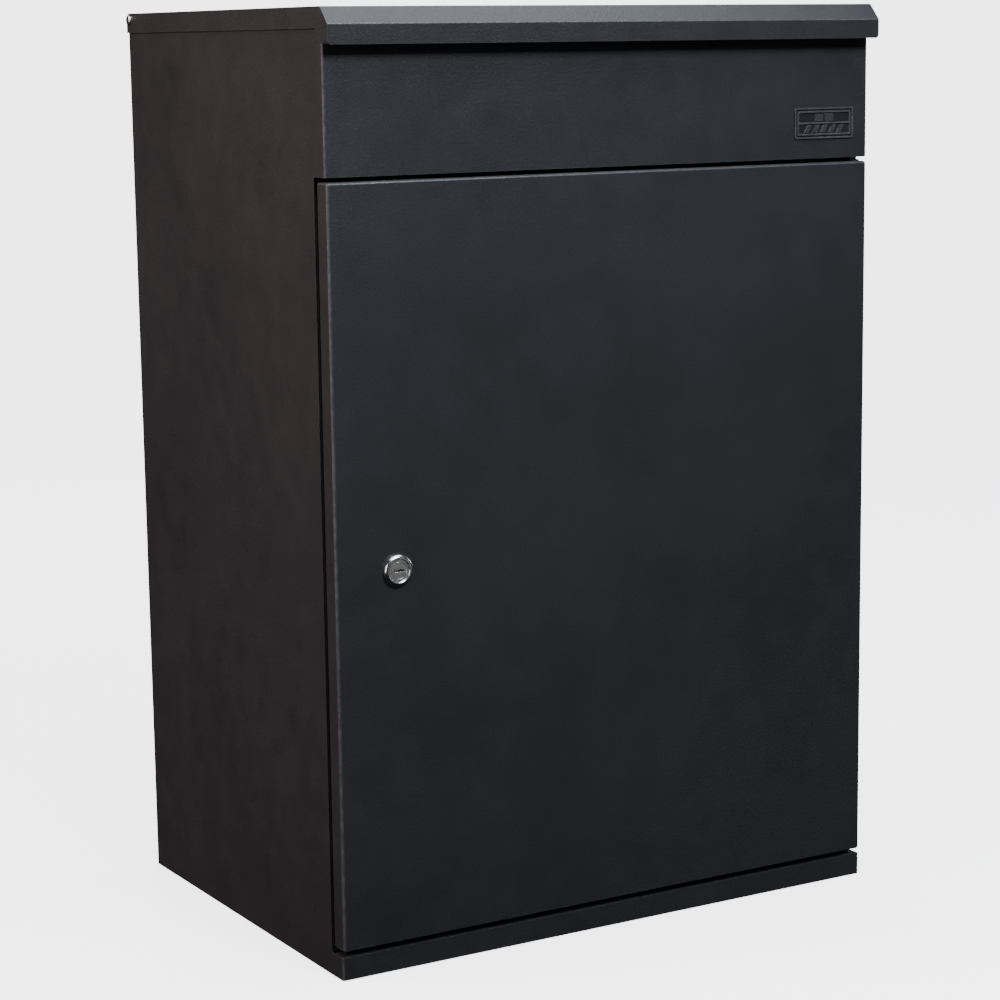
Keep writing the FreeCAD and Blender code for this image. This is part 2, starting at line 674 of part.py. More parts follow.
def make_door_pin(label, head_low, head_high, shank_low, shank_high):
    """A headed pin, riveted in the casing's fold, that the door turns on."""
    body = new_body(label)
    add(body, "Z", head_low, head_high, circle(*DOOR_PIVOT, "Dims.door_pin_head"))
    add(body, "Z", shank_low, shank_high, circle(*DOOR_PIVOT, "Dims.door_pin_radius"))
    return body


def make_door_pins():
    """The upper pin hangs from the fascia's fold and the lower one stands on the base fold."""
    fascia_fold_top = "(Dims.fascia_bottom + Dims.sheet)"
    base_fold_low = "(Dims.base_height - Dims.sheet)"
    upper = make_door_pin("door_hinge_pin_upper", fascia_fold_top,
                          f"{fascia_fold_top} + Dims.door_pin_head_length",
                          "Dims.door_top - Dims.door_pin_reach",
                          f"{fascia_fold_top} + Dims.weld_lap")
    lower = make_door_pin("door_hinge_pin_lower", f"{base_fold_low} - Dims.door_pin_head_length",
                          base_fold_low, f"{base_fold_low} - Dims.weld_lap",
                          "Dims.door_bottom + Dims.door_pin_reach")
    return [upper, lower]


def make_door_bush(label, rim_low, rim_high, sleeve_low, sleeve_high):
    """A flanged nylon bush in the door's edge fold, running on a hinge pin."""
    body = new_body(label)
    add(body, "Z", rim_low, rim_high, circle(*DOOR_PIVOT, "Dims.bush_rim_radius"))
    add(body, "Z", sleeve_low, sleeve_high, circle(*DOOR_PIVOT, "Dims.bush_radius"))
    cut_through(body, "Z", circle(*DOOR_PIVOT, "Dims.door_pin_radius + Dims.hole_fit"))
    return body


def make_door_bushes():
    """One bush at the top of the door and one at the bottom, their rims outside the door."""
    upper = make_door_bush("door_bush_upper", "Dims.door_top", "Dims.door_top + Dims.bush_rim",
                           "Dims.door_top - Dims.bush_length", "Dims.door_top + Dims.weld_lap")
    lower = make_door_bush("door_bush_lower", "Dims.door_bottom - Dims.bush_rim",
                           "Dims.door_bottom", "Dims.door_bottom - Dims.weld_lap",
                           "Dims.door_bottom + Dims.bush_length")
    return [upper, lower]


# ---------------------------------------------------------------- cam lock

def make_lock_housing():
    """The lock's fixed body: a round rosette outside the door and a flatted barrel through it."""
    body = new_body("lock_housing")
    face = back("-Dims.door_proud - Dims.lock_head_length")
    add(body, "Y", face, DOOR_FRONT, circle(*LOCK, "Dims.lock_head_radius"))
    round_edges(body, "Dims.lock_head_round", y=face)
    add(body, "Y", f"{DOOR_FRONT} - Dims.weld_lap", back("Dims.lock_rear_y"),
        circle(*LOCK, "Dims.lock_barrel_radius"))
    for sign in (1, -1):
        edge = f"(Dims.lock_z + {sign} * Dims.lock_flat)"
        beyond = f"(Dims.lock_z + {sign} * (Dims.lock_barrel_radius + {PAST}))"
        low, high = (edge, beyond) if sign > 0 else (beyond, edge)
        cut(body, "Y", f"{DOOR_INSIDE} + Dims.nut_length", back(f"Dims.lock_rear_y + {PAST}"),
            rectangle("Dims.lock_x - Dims.lock_head_radius", low,
                      "Dims.lock_x + Dims.lock_head_radius", high))
    cut(body, "Y", f"{face} - {PAST}", f"{face} + Dims.lock_recess",
        circle(*LOCK, "Dims.lock_recess_radius"))
    round_edges(body, "Dims.lock_recess_round", y=face,
                x="Dims.lock_x + Dims.lock_recess_radius")
    cut_through(body, "Y", circle(*LOCK, "Dims.plug_radius + Dims.hole_fit"))
    return body


def make_lock_nut():
    """The hexagon nut that clamps the lock to the door's face."""
    body = new_body("lock_nut")
    corner = "(Dims.nut_flats / sqrt(3))"
    flat = "(Dims.nut_flats / 2)"
    outline = [(f"Dims.lock_x + {corner}", "Dims.lock_z"),
               (f"Dims.lock_x + {corner} / 2", f"Dims.lock_z + {flat}"),
               (f"Dims.lock_x - {corner} / 2", f"Dims.lock_z + {flat}"),
               (f"Dims.lock_x - {corner}", "Dims.lock_z"),
               (f"Dims.lock_x - {corner} / 2", f"Dims.lock_z - {flat}"),
               (f"Dims.lock_x + {corner} / 2", f"Dims.lock_z - {flat}")]
    add(body, "Y", DOOR_INSIDE, f"{DOOR_INSIDE} + Dims.nut_length", outline)
    cut_through(body, "Y", circle(*LOCK, "Dims.lock_barrel_radius"))
    return body


def about_lock(half_x, half_z):
    """A rectangle centred on the lock's axis."""
    return rectangle(f"Dims.lock_x - {half_x}", f"Dims.lock_z - {half_z}",
                     f"Dims.lock_x + {half_x}", f"Dims.lock_z + {half_z}")


def make_lock_plug():
    """The part of the lock that the key turns, with its key slot and square tail."""
    body = new_body("lock_plug")
    face = back("Dims.lock_recess + Dims.moving_gap - Dims.door_proud - Dims.lock_head_length")
    rear = back("Dims.lock_rear_y")
    add(body, "Y", face, rear, circle(*LOCK, "Dims.plug_radius"))
    round_edges(body, "Dims.plug_edge", y=face)
    add(body, "Y", f"{rear} - Dims.weld_lap", f"{rear} + Dims.moving_gap + Dims.cam_thickness",
        about_lock("Dims.tail_half", "Dims.tail_half"))
    cut(body, "Y", f"{face} - {PAST}", f"{face} + Dims.key_slot_depth",
        about_lock("Dims.key_slot_half", "Dims.key_slot_width / 2"))
    screw_end = f"({rear} + Dims.moving_gap + Dims.cam_thickness - Dims.screw_depth)"
    cut(body, "Y", screw_end, f"{rear} + {PAST}", circle(*LOCK, "Dims.screw_radius"))
    return body


def make_lock_cam():
    """The flat tongue on the plug's tail; pointing down it is open, pointing left it locks."""
    body = new_body("lock_cam")
    low = back("Dims.lock_rear_y + Dims.moving_gap")
    left = "(Dims.lock_x - Dims.cam_width / 2)"
    right = "(Dims.lock_x + Dims.cam_width / 2)"
    tip = "(Dims.lock_z - Dims.cam_length)"
    heel = "(Dims.lock_z + Dims.cam_width / 2)"
    add(body, "Y", low, f"{low} + Dims.cam_thickness", rectangle(left, tip, right, heel))
    round_edges(body, "Dims.cam_corner", x=[left, right], z=[tip, heel])
    tail = "(Dims.tail_half + Dims.hole_fit)"
    cut_through(body, "Y", about_lock(tail, tail))
    return body


def make_cam_screw():
    """The screw and washer that hold the cam on the plug's tail."""
    body = new_body("cam_screw")
    seat = back("Dims.lock_rear_y + Dims.moving_gap + Dims.cam_thickness")
    head_low = f"({seat} + Dims.washer_length)"
    head_high = f"({head_low} + Dims.screw_head_length)"
    add(body, "Y", seat, head_low, circle(*LOCK, "Dims.washer_radius"))
    add(body, "Y", f"{head_low} - Dims.weld_lap", head_high, circle(*LOCK, "Dims.screw_head"))
    round_edges(body, "Dims.screw_head_round", y=head_high)
    add(body, "Y", f"{seat} - Dims.screw_depth", f"{seat} + Dims.weld_lap",
        circle(*LOCK, "Dims.screw_radius"))
    return body


# ---------------------------------------------------------------- drop flap and links

def make_drop_flap():
    """The sheet that hangs down the back wall and swings up under the opening with the lid."""
    body = new_body("drop_flap")
    pivot_y, pivot_z = FLAP_PIVOT
    skin = f"({pivot_y} + Dims.flap_offset)"
    in_skin = f"({skin} + Dims.sheet / 2)"
    low = f"({pivot_z} - Dims.flap_length)"
    top = f"({pivot_z} + Dims.flap_top)"
    hem_half = f"({EAR_INNER} - Dims.fold_margin)"
    add(body, "Z", low, top, rectangle(f"-{EAR_OUTER}", skin, EAR_OUTER, f"{skin} + Dims.sheet"))
    add(body, "Z", low, f"{low} + Dims.sheet",
        rectangle(f"-{hem_half}", f"{skin} - Dims.flap_hem", hem_half, in_skin))
    # a gusset at each side reaches forward to the foot of its lift link
    foot_y, foot_z = LINK_FOOT
    nose_y = f"({foot_y} - Dims.gusset_nose)"
    nose_low = f"({foot_z} - Dims.gusset_nose)"
    nose_high = f"({foot_z} + Dims.gusset_nose)"
    gusset = [(in_skin, top), (pivot_y, f"{top} + Dims.gusset_nose / 3"), (nose_y, nose_high),
              (nose_y, nose_low), (in_skin, f"{pivot_z} - Dims.gusset_length")]
    for side in (1, -1):
        ear = mirrored_pair(EAR_INNER, EAR_OUTER, side)
        add(body, "X", *ear, gusset)
    round_edges(body, "Dims.gusset_nose_round", y=nose_y, z=[nose_low, nose_high])
    cut_through(body, "X", circle(pivot_y, pivot_z, "Dims.rod_radius + Dims.hole_fit"))
    cut_through(body, "X", circle(foot_y, foot_z, "Dims.link_pin_radius"))
    return body


def make_flap_rod():
    """The steel rod, fixed in both brackets, that the drop flap turns on."""
    body = new_body("flap_rod")
    half = "(Dims.link_inner_x + Dims.rod_tail)"
    add(body, "X", f"-{half}", half, circle(*FLAP_PIVOT, "Dims.rod_radius"))
    round_edges(body, "Dims.rod_edge", x=[half, f"-{half}"])
    return body


def make_flap_bracket(label, side):
    """An angle on the rear panel that holds one end of the flap's rod."""
    body = new_body(label)
    pivot_y, pivot_z = FLAP_PIVOT
    wall = f"({REAR} - Dims.sheet)"
    thick = "Dims.ear_thickness"
    low_x = "Dims.link_inner_x"
    nose = f"({pivot_y} - Dims.bracket_nose)"
    low = f"({pivot_z} - Dims.bracket_half)"
    high = f"({pivot_z} + Dims.bracket_half)"
    ear = mirrored_pair(low_x, f"({low_x} + {thick})", side)
    add(body, "X", *ear, rectangle(nose, low, wall, high))
    round_edges(body, "Dims.bracket_nose_round", y=nose, z=[low, high])
    foot = mirrored_pair(f"({low_x} - Dims.bracket_foot)", f"({low_x} + Dims.weld_lap)", side)
    add(body, "Y", f"{wall} - {thick}", wall, rectangle(foot[0], low, foot[1], high))
    cut_through(body, "X", circle(pivot_y, pivot_z, "Dims.rod_radius"))
    return body


def make_flap_rod_clips():
    """Push-on rings at both ends of the flap's rod."""
    low = "(Dims.link_inner_x + Dims.ear_thickness + Dims.moving_gap)"
    spans = [mirrored_pair(low, f"({low} + Dims.clip_length)", side) for side in (1, -1)]
    return discs("flap_rod_clips", "X", spans, "Dims.rod_clip_radius", "Dims.rod_radius",
                 [FLAP_PIVOT] * 2)


def make_lift_link(label, side):
    """A flat bar from the lid's lug down to the flap's ear; its lower hole has play."""
    body = new_body(label)
    top_y, top_z = LINK_TOP
    foot_y, foot_z = LINK_FOOT
    # the bar's edges lie a link radius to either side of the line between its holes
    run_y = f"(({top_y}) - ({foot_y}))"
    run_z = f"(({top_z}) - ({foot_z}))"
    length = f"sqrt({run_y}^2 + {run_z}^2)"
    aside_y = f"(Dims.link_radius * {run_z} / {length})"
    aside_z = f"(Dims.link_radius * {run_y} / {length})"
    bar = [(f"{top_y} + {aside_y}", f"{top_z} - {aside_z}"),
           (f"{top_y} - {aside_y}", f"{top_z} + {aside_z}"),
           (f"{foot_y} - {aside_y}", f"{foot_z} + {aside_z}"),
           (f"{foot_y} + {aside_y}", f"{foot_z} - {aside_z}")]
    span = mirrored_pair("Dims.link_inner_x", "(Dims.link_inner_x + Dims.link_thickness)", side)
    add(body, "X", *span, bar)
    add(body, "X", *span, circle(top_y, top_z, "Dims.link_radius"))
    add(body, "X", *span, circle(foot_y, foot_z, "Dims.link_radius"))
    cut_through(body, "X", circle(top_y, top_z, "Dims.link_pin_radius + Dims.hole_fit"))
    cut_through(body, "X", circle(foot_y, foot_z, "Dims.link_pin_radius + Dims.open_pivot_play"))
    return body


def make_link_pins(label, centre):
    """A pair of headed pins, one each side, that join the lift links to their ears."""
    solids = []
    head_length = value("Dims.ear_thickness")
    head_inner = value(f"{EAR_INNER} - Dims.ear_thickness")
    reach = value("Dims.link_inner_x + Dims.link_thickness + Dims.link_pin_tail")
    for side in (1, -1):
        direction = FreeCAD.Vector(side, 0, 0)
        start = FreeCAD.Vector(side * head_inner, value(centre[0]), value(centre[1]))
        head = Part.makeCylinder(value("Dims.link_pin_head"), head_length, start, direction)
        shank = Part.makeCylinder(value("Dims.link_pin_radius"), reach - head_inner,
                                  start, direction)
        solids.append(head.fuse(shank).removeSplitter())
    feature = DOC.addObject("Part::Feature", label)
    feature.Label = label
    feature.Shape = Part.makeCompound(solids)
    feature.Placement = FreeCAD.Placement()
    return feature


def make_link_clips(label, centre):
    """Push-on rings that keep a pair of link pins in."""
    low = "(Dims.link_inner_x + Dims.link_thickness + Dims.moving_gap)"
    spans = [mirrored_pair(low, f"({low} + Dims.clip_length)", side) for side in (1, -1)]
    return discs(label, "X", spans, "Dims.link_clip_radius", "Dims.link_pin_radius", [centre] * 2)


# ---------------------------------------------------------------- the whole box

SUBPARTS = [
    make_casing(),
    make_rear_panel(),
    make_floor_pan(),
    make_stile("stile_left", -1),
    make_stile("stile_right", 1),
    make_badge(),
    make_lid_buffers(),
    make_door_buffers(),
    *make_door_pins(),
    make_flap_bracket("flap_bracket_left", -1),
    make_flap_bracket("flap_bracket_right", 1),
    make_flap_rod(),
    make_flap_rod_clips(),
    make_lid(),
    make_lid_lug("lid_lug_left", -1),
    make_lid_lug("lid_lug_right", 1),
    make_lid_pin("lid_hinge_pin_left", -1),
    make_lid_pin("lid_hinge_pin_right", 1),
    make_lid_retainers(),
    make_link_pins("link_pins_upper", LINK_TOP),
    make_link_clips("link_clips_upper", LINK_TOP),
    make_door(),
    make_door_stiffener(),
    *make_door_bushes(),
    make_lock_housing(),
    make_lock_nut(),
    make_lock_plug(),
    make_lock_cam(),
    make_cam_screw(),
    make_drop_flap(),
    make_link_pins("link_pins_lower", LINK_FOOT),
    make_link_clips("link_clips_lower", LINK_FOOT),
    make_lift_link("lift_link_left", -1),
    make_lift_link("lift_link_right", 1),
]


def check_document():
    """Stop if any feature failed or any sub-part is empty or invalid."""
    DOC.recompute()
    for item in DOC.Objects:
        if "Invalid" in item.State or "Error" in item.State:
            raise RuntimeError(f"{item.Name} failed: {item.State}")
    for item in SUBPARTS:
        if item.Shape.isNull() or not item.Shape.isValid():
            raise RuntimeError(f"{item.Label} has no valid shape")


def export_subparts():
    """Write each sub-part to its own file, named after its label."""
    os.makedirs("parts", exist_ok=True)
    for item in SUBPARTS:
        item.Shape.exportStep(f"parts/{item.Label}.step")
        box = item.Shape.BoundBox
        print(f"{item.Label:22s} solids {len(item.Shape.Solids)} volume {item.Shape.Volume:10.1f} "
              f"x {box.XMin:8.2f} {box.XMax:8.2f} y {box.YMin:8.2f} {box.YMax:8.2f} "
              f"z {box.ZMin:8.2f} {box.ZMax:8.2f}")


check_document()
export_subparts()
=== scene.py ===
import json
import math

import bpy
from mathutils import Matrix, Vector

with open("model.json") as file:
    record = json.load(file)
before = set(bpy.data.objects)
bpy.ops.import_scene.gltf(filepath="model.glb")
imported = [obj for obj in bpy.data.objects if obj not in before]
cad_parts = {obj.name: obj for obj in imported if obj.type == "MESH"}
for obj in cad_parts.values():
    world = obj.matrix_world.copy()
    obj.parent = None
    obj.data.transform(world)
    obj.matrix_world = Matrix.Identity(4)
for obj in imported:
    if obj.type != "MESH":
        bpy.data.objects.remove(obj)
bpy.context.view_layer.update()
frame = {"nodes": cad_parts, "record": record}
MM = 0.001
WHITE = (1.0, 1.0, 1.0)


# ---------------------------------------------------------------- node helpers

class Nodes:
    """A thin wrapper that makes and links the nodes of one node tree."""

    def __init__(self, tree):
        self.tree = tree
        tree.nodes.clear()

    def add(self, kind, **settings):
        node = self.tree.nodes.new(kind)
        for name, setting in settings.items():
            setattr(node, name, setting)
        return node

    def link(self, source, target):
        self.tree.links.new(source, target)

    def noise(self, vector, scale, detail=2.0, roughness=0.5, distortion=0.0):
        node = self.add("ShaderNodeTexNoise")
        node.inputs["Scale"].default_value = scale
        node.inputs["Detail"].default_value = detail
        node.inputs["Roughness"].default_value = roughness
        node.inputs["Distortion"].default_value = distortion
        self.link(vector, node.inputs["Vector"])
        return node.outputs["Fac"]

    def spread(self, value, low, high, to_low, to_high):
        node = self.add("ShaderNodeMapRange")
        node.inputs["From Min"].default_value = low
        node.inputs["From Max"].default_value = high
        node.inputs["To Min"].default_value = to_low
        node.inputs["To Max"].default_value = to_high
        self.link(value, node.inputs["Value"])
        return node.outputs["Result"]

    def maths(self, operation, *items):
        node = self.add("ShaderNodeMath", operation=operation)
        for socket, item in zip(node.inputs, items):
            if isinstance(item, float):
                socket.default_value = item
            else:
                self.link(item, socket)
        return node.outputs[0]

    def blend(self, share, first, second):
        """A colour that goes from the first to the second as share goes from 0 to 1."""
        node = self.add("ShaderNodeMix", data_type="RGBA")
        factor, colours, mixed = node.inputs[0], node.inputs[6:8], node.outputs[2]
        self.link(share, factor)
        for socket, item in zip(colours, (first, second)):
            if isinstance(item, tuple):
                socket.default_value = (*item, 1.0)
            else:
                self.link(item, socket)
        return mixed

    def bump(self, height, strength, distance, normal=None):
        node = self.add("ShaderNodeBump")
        node.inputs["Strength"].default_value = strength
        node.inputs["Distance"].default_value = distance
        self.link(height, node.inputs["Height"])
        if normal is not None:
            self.link(normal, node.inputs["Normal"])
        return node.outputs["Normal"]


def new_material(name):
    """An empty material with an object-space coordinate and a Principled shader."""
    material = bpy.data.materials.new(name)
    material.use_nodes = True
    nodes = Nodes(material.node_tree)
    shader = nodes.add("ShaderNodeBsdfPrincipled")
    output = nodes.add("ShaderNodeOutputMaterial")
    nodes.link(shader.outputs[0], output.inputs["Surface"])
    where = nodes.add("ShaderNodeTexCoord").outputs["Object"]
    return material, nodes, shader, where


# noise scales, per metre: the powder coat's, then the plated metals', then rubber's and nylon's
CLOUD, PATCH, WORN_AND_HIGHLIT_BREAKUP, SWELL, PEBBLE, FLECK = 7.0, 42.0, 160.0, 170.0, 620.0, 900.0
HAZE, SCRATCH, BRUSH, BRUSH_STRETCH = 130.0, 420.0, 120.0, (1.0, 30.0, 30.0)
MOTTLE, MOULD_GRAIN = 240.0, 1500.0
# how far the worn coat and painted highlight reach from an edge, and the cosines of turn where they
# start and are full: at edges, and at folds for the painted highlight only
WORN_AND_HIGHLIT_REACH = 0.7 * MM
EDGE_TURN = (0.99, 0.8)
FOLD_TURN = (0.998, 0.975)
# normals of the box's flat faces: the square ones and the lid's slope
FLATS = ((1.0, 0.0, 0.0), (0.0, 1.0, 0.0), (0.0, 0.0, 1.0), (0.0, -0.740, 0.673))


def edge_mask(nodes):
    """1 on outside edges and 0 on flat faces, from how the rounded normal leaves the true one."""
    rounded = nodes.add("ShaderNodeBevel", samples=6)
    rounded.inputs["Radius"].default_value = WORN_AND_HIGHLIT_REACH
    true_normal = nodes.add("ShaderNodeNewGeometry").outputs["Normal"]
    dot = nodes.add("ShaderNodeVectorMath", operation="DOT_PRODUCT")
    nodes.link(rounded.outputs["Normal"], dot.inputs[0])
    nodes.link(true_normal, dot.inputs[1])
    return nodes.spread(dot.outputs["Value"], *EDGE_TURN, 0.0, 1.0)


def fold_highlight_mask(nodes):
    """1 halfway round a fold, and 0 on the square faces and on the lid's slope: a painted
    highlight's mask.
    """
    facing = nodes.add("ShaderNodeTexCoord").outputs["Normal"]
    nearest = 0.0
    for flat in FLATS:
        dot = nodes.add("ShaderNodeVectorMath", operation="DOT_PRODUCT")
        dot.inputs[1].default_value = flat
        nodes.link(facing, dot.inputs[0])
        nearest = nodes.maths("MAXIMUM", nearest, nodes.maths("ABSOLUTE", dot.outputs["Value"]))
    return nodes.spread(nearest, *FOLD_TURN, 0.0, 1.0)


def powder_coat(name, colour, roughness, grain=1.0, worn_and_highlit_gain=2.6, raised=None):
    """Satin powder coat: fine pebbled grain, faint cloudiness, edges lighter partly as worn coat
    and partly as a painted highlight, and folds lighter as a painted highlight.

    Grain scales the bumps, and the argument after it is how many times lighter the worn and highlit
    coat is. Raised gives two y values in millimetres, from where the relief has no painted
    highlight to where it has its full painted highlight.
    """
    material, nodes, shader, where = new_material(name)
    cloud = nodes.noise(where, CLOUD, 3.0, 0.55)
    patch = nodes.noise(where, PATCH, 4.0, 0.6)
    fleck = nodes.noise(where, FLECK, 2.0, 0.6)
    level = nodes.maths("ADD", nodes.spread(cloud, 0.3, 0.7, 0.86, 1.12),
                        nodes.spread(patch, 0.3, 0.7, -0.06, 0.06))
    level = nodes.maths("MULTIPLY", level, nodes.spread(fleck, 0.25, 0.75, 0.6, 1.4))
    tone = nodes.add("ShaderNodeVectorMath", operation="SCALE")
    tone.inputs[0].default_value = colour
    nodes.link(level, tone.inputs["Scale"])
    # edges get a lighter coat, partly worn and partly a painted highlight; folds get a painted
    # highlight only
    thin = nodes.maths("MAXIMUM", edge_mask(nodes), fold_highlight_mask(nodes))
    worn_and_highlit_share = nodes.maths("MULTIPLY", thin,
                       nodes.spread(nodes.noise(where, WORN_AND_HIGHLIT_BREAKUP, 3.0, 0.6), 0.42, 0.68, 0.3, 0.85))
    # the raised relief gets a painted highlight, lighter towards its front face
    if raised:
        depth = nodes.add("ShaderNodeSeparateXYZ")
        nodes.link(where, depth.inputs[0])
        unlit_at, highlit_at = (MM * y for y in raised)
        relief = nodes.spread(depth.outputs["Y"], unlit_at, highlit_at, 0.0, 0.28)
        worn_and_highlit_share = nodes.maths("MAXIMUM", worn_and_highlit_share, relief)
    # the lighter colour stands partly for worn coat and partly for painted highlights on edges,
    # folds and the badge's front
    worn_and_highlit_colour = tuple(worn_and_highlit_gain * part + 0.02 for part in colour)
    nodes.link(nodes.blend(worn_and_highlit_share, tone.outputs[0], worn_and_highlit_colour), shader.inputs["Base Color"])
    rough = nodes.maths("ADD", nodes.spread(patch, 0.25, 0.75, roughness - 0.03, roughness + 0.04),
                        nodes.maths("MULTIPLY", worn_and_highlit_share, -0.12))
    nodes.link(rough, shader.inputs["Roughness"])
    shader.inputs["Specular IOR Level"].default_value = 0.42
    pebble = nodes.noise(where, PEBBLE, 3.0, 0.6)
    swell = nodes.noise(where, SWELL, 2.0, 0.5)
    normal = nodes.bump(pebble, 0.9 * grain, 0.24 * MM)
    normal = nodes.bump(swell, 0.35 * grain, 0.10 * MM, normal)
    nodes.link(normal, shader.inputs["Normal"])
    return material


def bright_metal(name, colour, roughness, brush=0.0):
    """Plated metal with faint handling marks, and a drawn grain when brush is above 0."""
    material, nodes, shader, where = new_material(name)
    marks = nodes.noise(where, SCRATCH, 3.0, 0.6, 0.8)
    dull = nodes.noise(where, HAZE, 3.0, 0.6)
    shade = nodes.blend(nodes.spread(dull, 0.35, 0.7, 0.0, 0.5), colour,
                        tuple(0.82 * part for part in colour))
    nodes.link(shade, shader.inputs["Base Color"])
    nodes.link(nodes.maths("ADD", nodes.spread(marks, 0.35, 0.75, roughness, roughness + 0.05),
                           nodes.spread(dull, 0.4, 0.7, 0.0, 0.05)), shader.inputs["Roughness"])
    shader.inputs["Metallic"].default_value = 1.0
    if brush:
        stretched = nodes.add("ShaderNodeMapping")
        stretched.inputs["Scale"].default_value = BRUSH_STRETCH
        nodes.link(where, stretched.inputs["Vector"])
        lines = nodes.noise(stretched.outputs[0], BRUSH, 3.0, 0.6)
        nodes.link(nodes.bump(lines, brush, 0.02 * MM), shader.inputs["Normal"])
    else:
        nodes.link(nodes.bump(dull, 0.15, 0.02 * MM), shader.inputs["Normal"])
    return material


def soft_solid(name, colour, roughness):
    """Matt rubber or nylon with a fine moulded texture."""
    material, nodes, shader, where = new_material(name)
    mottle = nodes.noise(where, MOTTLE, 4.0, 0.6)
    tone = nodes.blend(nodes.spread(mottle, 0.3, 0.7, 0.0, 1.0),
                       tuple(0.8 * part for part in colour),
                       tuple(1.3 * part for part in colour))
    nodes.link(tone, shader.inputs["Base Color"])
    nodes.link(nodes.spread(mottle, 0.3, 0.7, roughness - 0.05, roughness + 0.08),
               shader.inputs["Roughness"])
    nodes.link(nodes.bump(nodes.noise(where, MOULD_GRAIN, 2.0), 0.3, 0.05 * MM),
               shader.inputs["Normal"])
    return material


MATERIALS = {
    "powder_coat": powder_coat("powder_coat", (0.0165, 0.0170, 0.0190), 0.43),
    # the badge's edges and relief front get a strong painted highlight through a sevenfold
    # lightening
    "badge": powder_coat("badge", (0.0145, 0.0150, 0.0170), 0.27, 0.5, 7.0, (-151.4, -152.1)),
    "chrome": bright_metal("chrome", (0.78, 0.78, 0.77), 0.19),
    "zinc_steel": bright_metal("zinc_steel", (0.56, 0.57, 0.58), 0.30, 0.25),
    "black_steel": bright_metal("black_steel", (0.050, 0.050, 0.052), 0.38, 0.2),
    "nylon": soft_solid("nylon", (0.045, 0.045, 0.048), 0.5),
    "rubber": soft_solid("rubber", (0.018, 0.018, 0.018), 0.7),
}


# ---------------------------------------------------------------- finish of the CAD pieces

# width in millimetres of the eased edge on each piece whose edges are left sharp in the CAD
EASED = {
    "casing": 0.45, "rear_panel": 0.3, "floor_pan": 0.3, "stile_left": 0.3, "stile_right": 0.3,
    "lid": 0.55, "door": 0.3, "door_stiffener": 0.3, "drop_flap": 0.3,
    "lid_lug_left": 0.3, "lid_lug_right": 0.3, "flap_bracket_left": 0.3,
    "flap_bracket_right": 0.3, "lock_plug": 0.12,
    "lock_nut": 0.4, "lock_cam": 0.3, "lift_link_left": 0.3, "lift_link_right": 0.3,
    "door_buffers": 0.5, "lid_buffers": 0.5,
}


# the distance at which points are one, and the turns at which faces are one and edges are sharp
WELD_REACH = 0.001 * MM
FLAT_TURN = math.radians(0.5)
SHARP_TURN = math.radians(40)


def ease_edges(item, width):
    """Merge the split corners, join flat facets and round the sharp edges a little."""
    weld = item.modifiers.new("weld", "WELD")
    weld.merge_threshold = WELD_REACH
    flat = item.modifiers.new("flat", "DECIMATE")
    flat.decimate_type = "DISSOLVE"
    flat.angle_limit = FLAT_TURN
    bevel = item.modifiers.new("bevel", "BEVEL")
    bevel.width = width * MM
    bevel.segments = 2
    bevel.limit_method = "ANGLE"
    bevel.angle_limit = SHARP_TURN
    bevel.miter_outer = "MITER_ARC"
    bevel.use_clamp_overlap = True
    shade = item.modifiers.new("shade", "WEIGHTED_NORMAL")
    shade.keep_sharp = False
    shade.weight = 80


for row in frame["record"]["subparts"]:
    piece = frame["nodes"][row["node"]]
    piece.data.materials.clear()
    piece.data.materials.append(MATERIALS[row["material_slot"]])
    if row["node"] in EASED:
        ease_edges(piece, EASED[row["node"]])


# ---------------------------------------------------------------- stage and light

# brightness of the surroundings to the camera, and the light they give from below and from above
PAPER = 4.0
AMBIENT = (0.004, 0.026)
# half width of the floor, its drop under the box, and the distances over which it fades to white
FLOOR_HALF = 60.0
FLOOR_DROP = 0.4 * MM
FLOOR_FADE = (0.5, 2.2)
# name, place, target, size in metres, power in watts and colour
LIGHTS = (
    ("overhead", (-0.03, -0.22, 1.32), (-0.03, -0.22, 0.0), (1.15, 0.8), 15, (0.85, 0.91, 1.0)),
    ("front_high", (0.3, -2.0, 2.1), (0.0, 0.0, 0.6), (1.2, 0.8), 100, (0.86, 0.89, 1.0)),
    ("left", (-2.6, 0.7, 0.5), (-0.2, 0.0, 0.35), (1.2, 1.2), 20, (1.0, 0.72, 0.66)),
    ("left_high", (-2.2, 0.7, 1.7), (-0.2, 0.0, 0.4), (1.2, 1.0), 66, (1.0, 0.76, 0.73)),
    ("left_front", (-2.3, -1.3, 0.8), (-0.2, 0.0, 0.35), (1.2, 1.4), 17, (0.93, 0.96, 1.0)),
    ("left_low", (-2.2, -0.9, 0.12), (-0.2, 0.0, 0.15), (1.6, 0.3), 3, (1.0, 0.84, 0.74)),
    ("back", (0.6, 2.8, 1.1), (0.0, 0.15, 0.35), (1.4, 1.2), 60, (0.93, 0.96, 1.0)),
    ("right", (2.8, 0.3, 1.0), (0.2, 0.0, 0.35), (1.2, 1.2), 50, (0.93, 0.96, 1.0)),
    ("low_card", (0.9, -1.9, 0.06), (-0.1, -0.15, 0.25), (1.0, 0.25), 0.45, (1.0, 1.0, 1.0)),
)


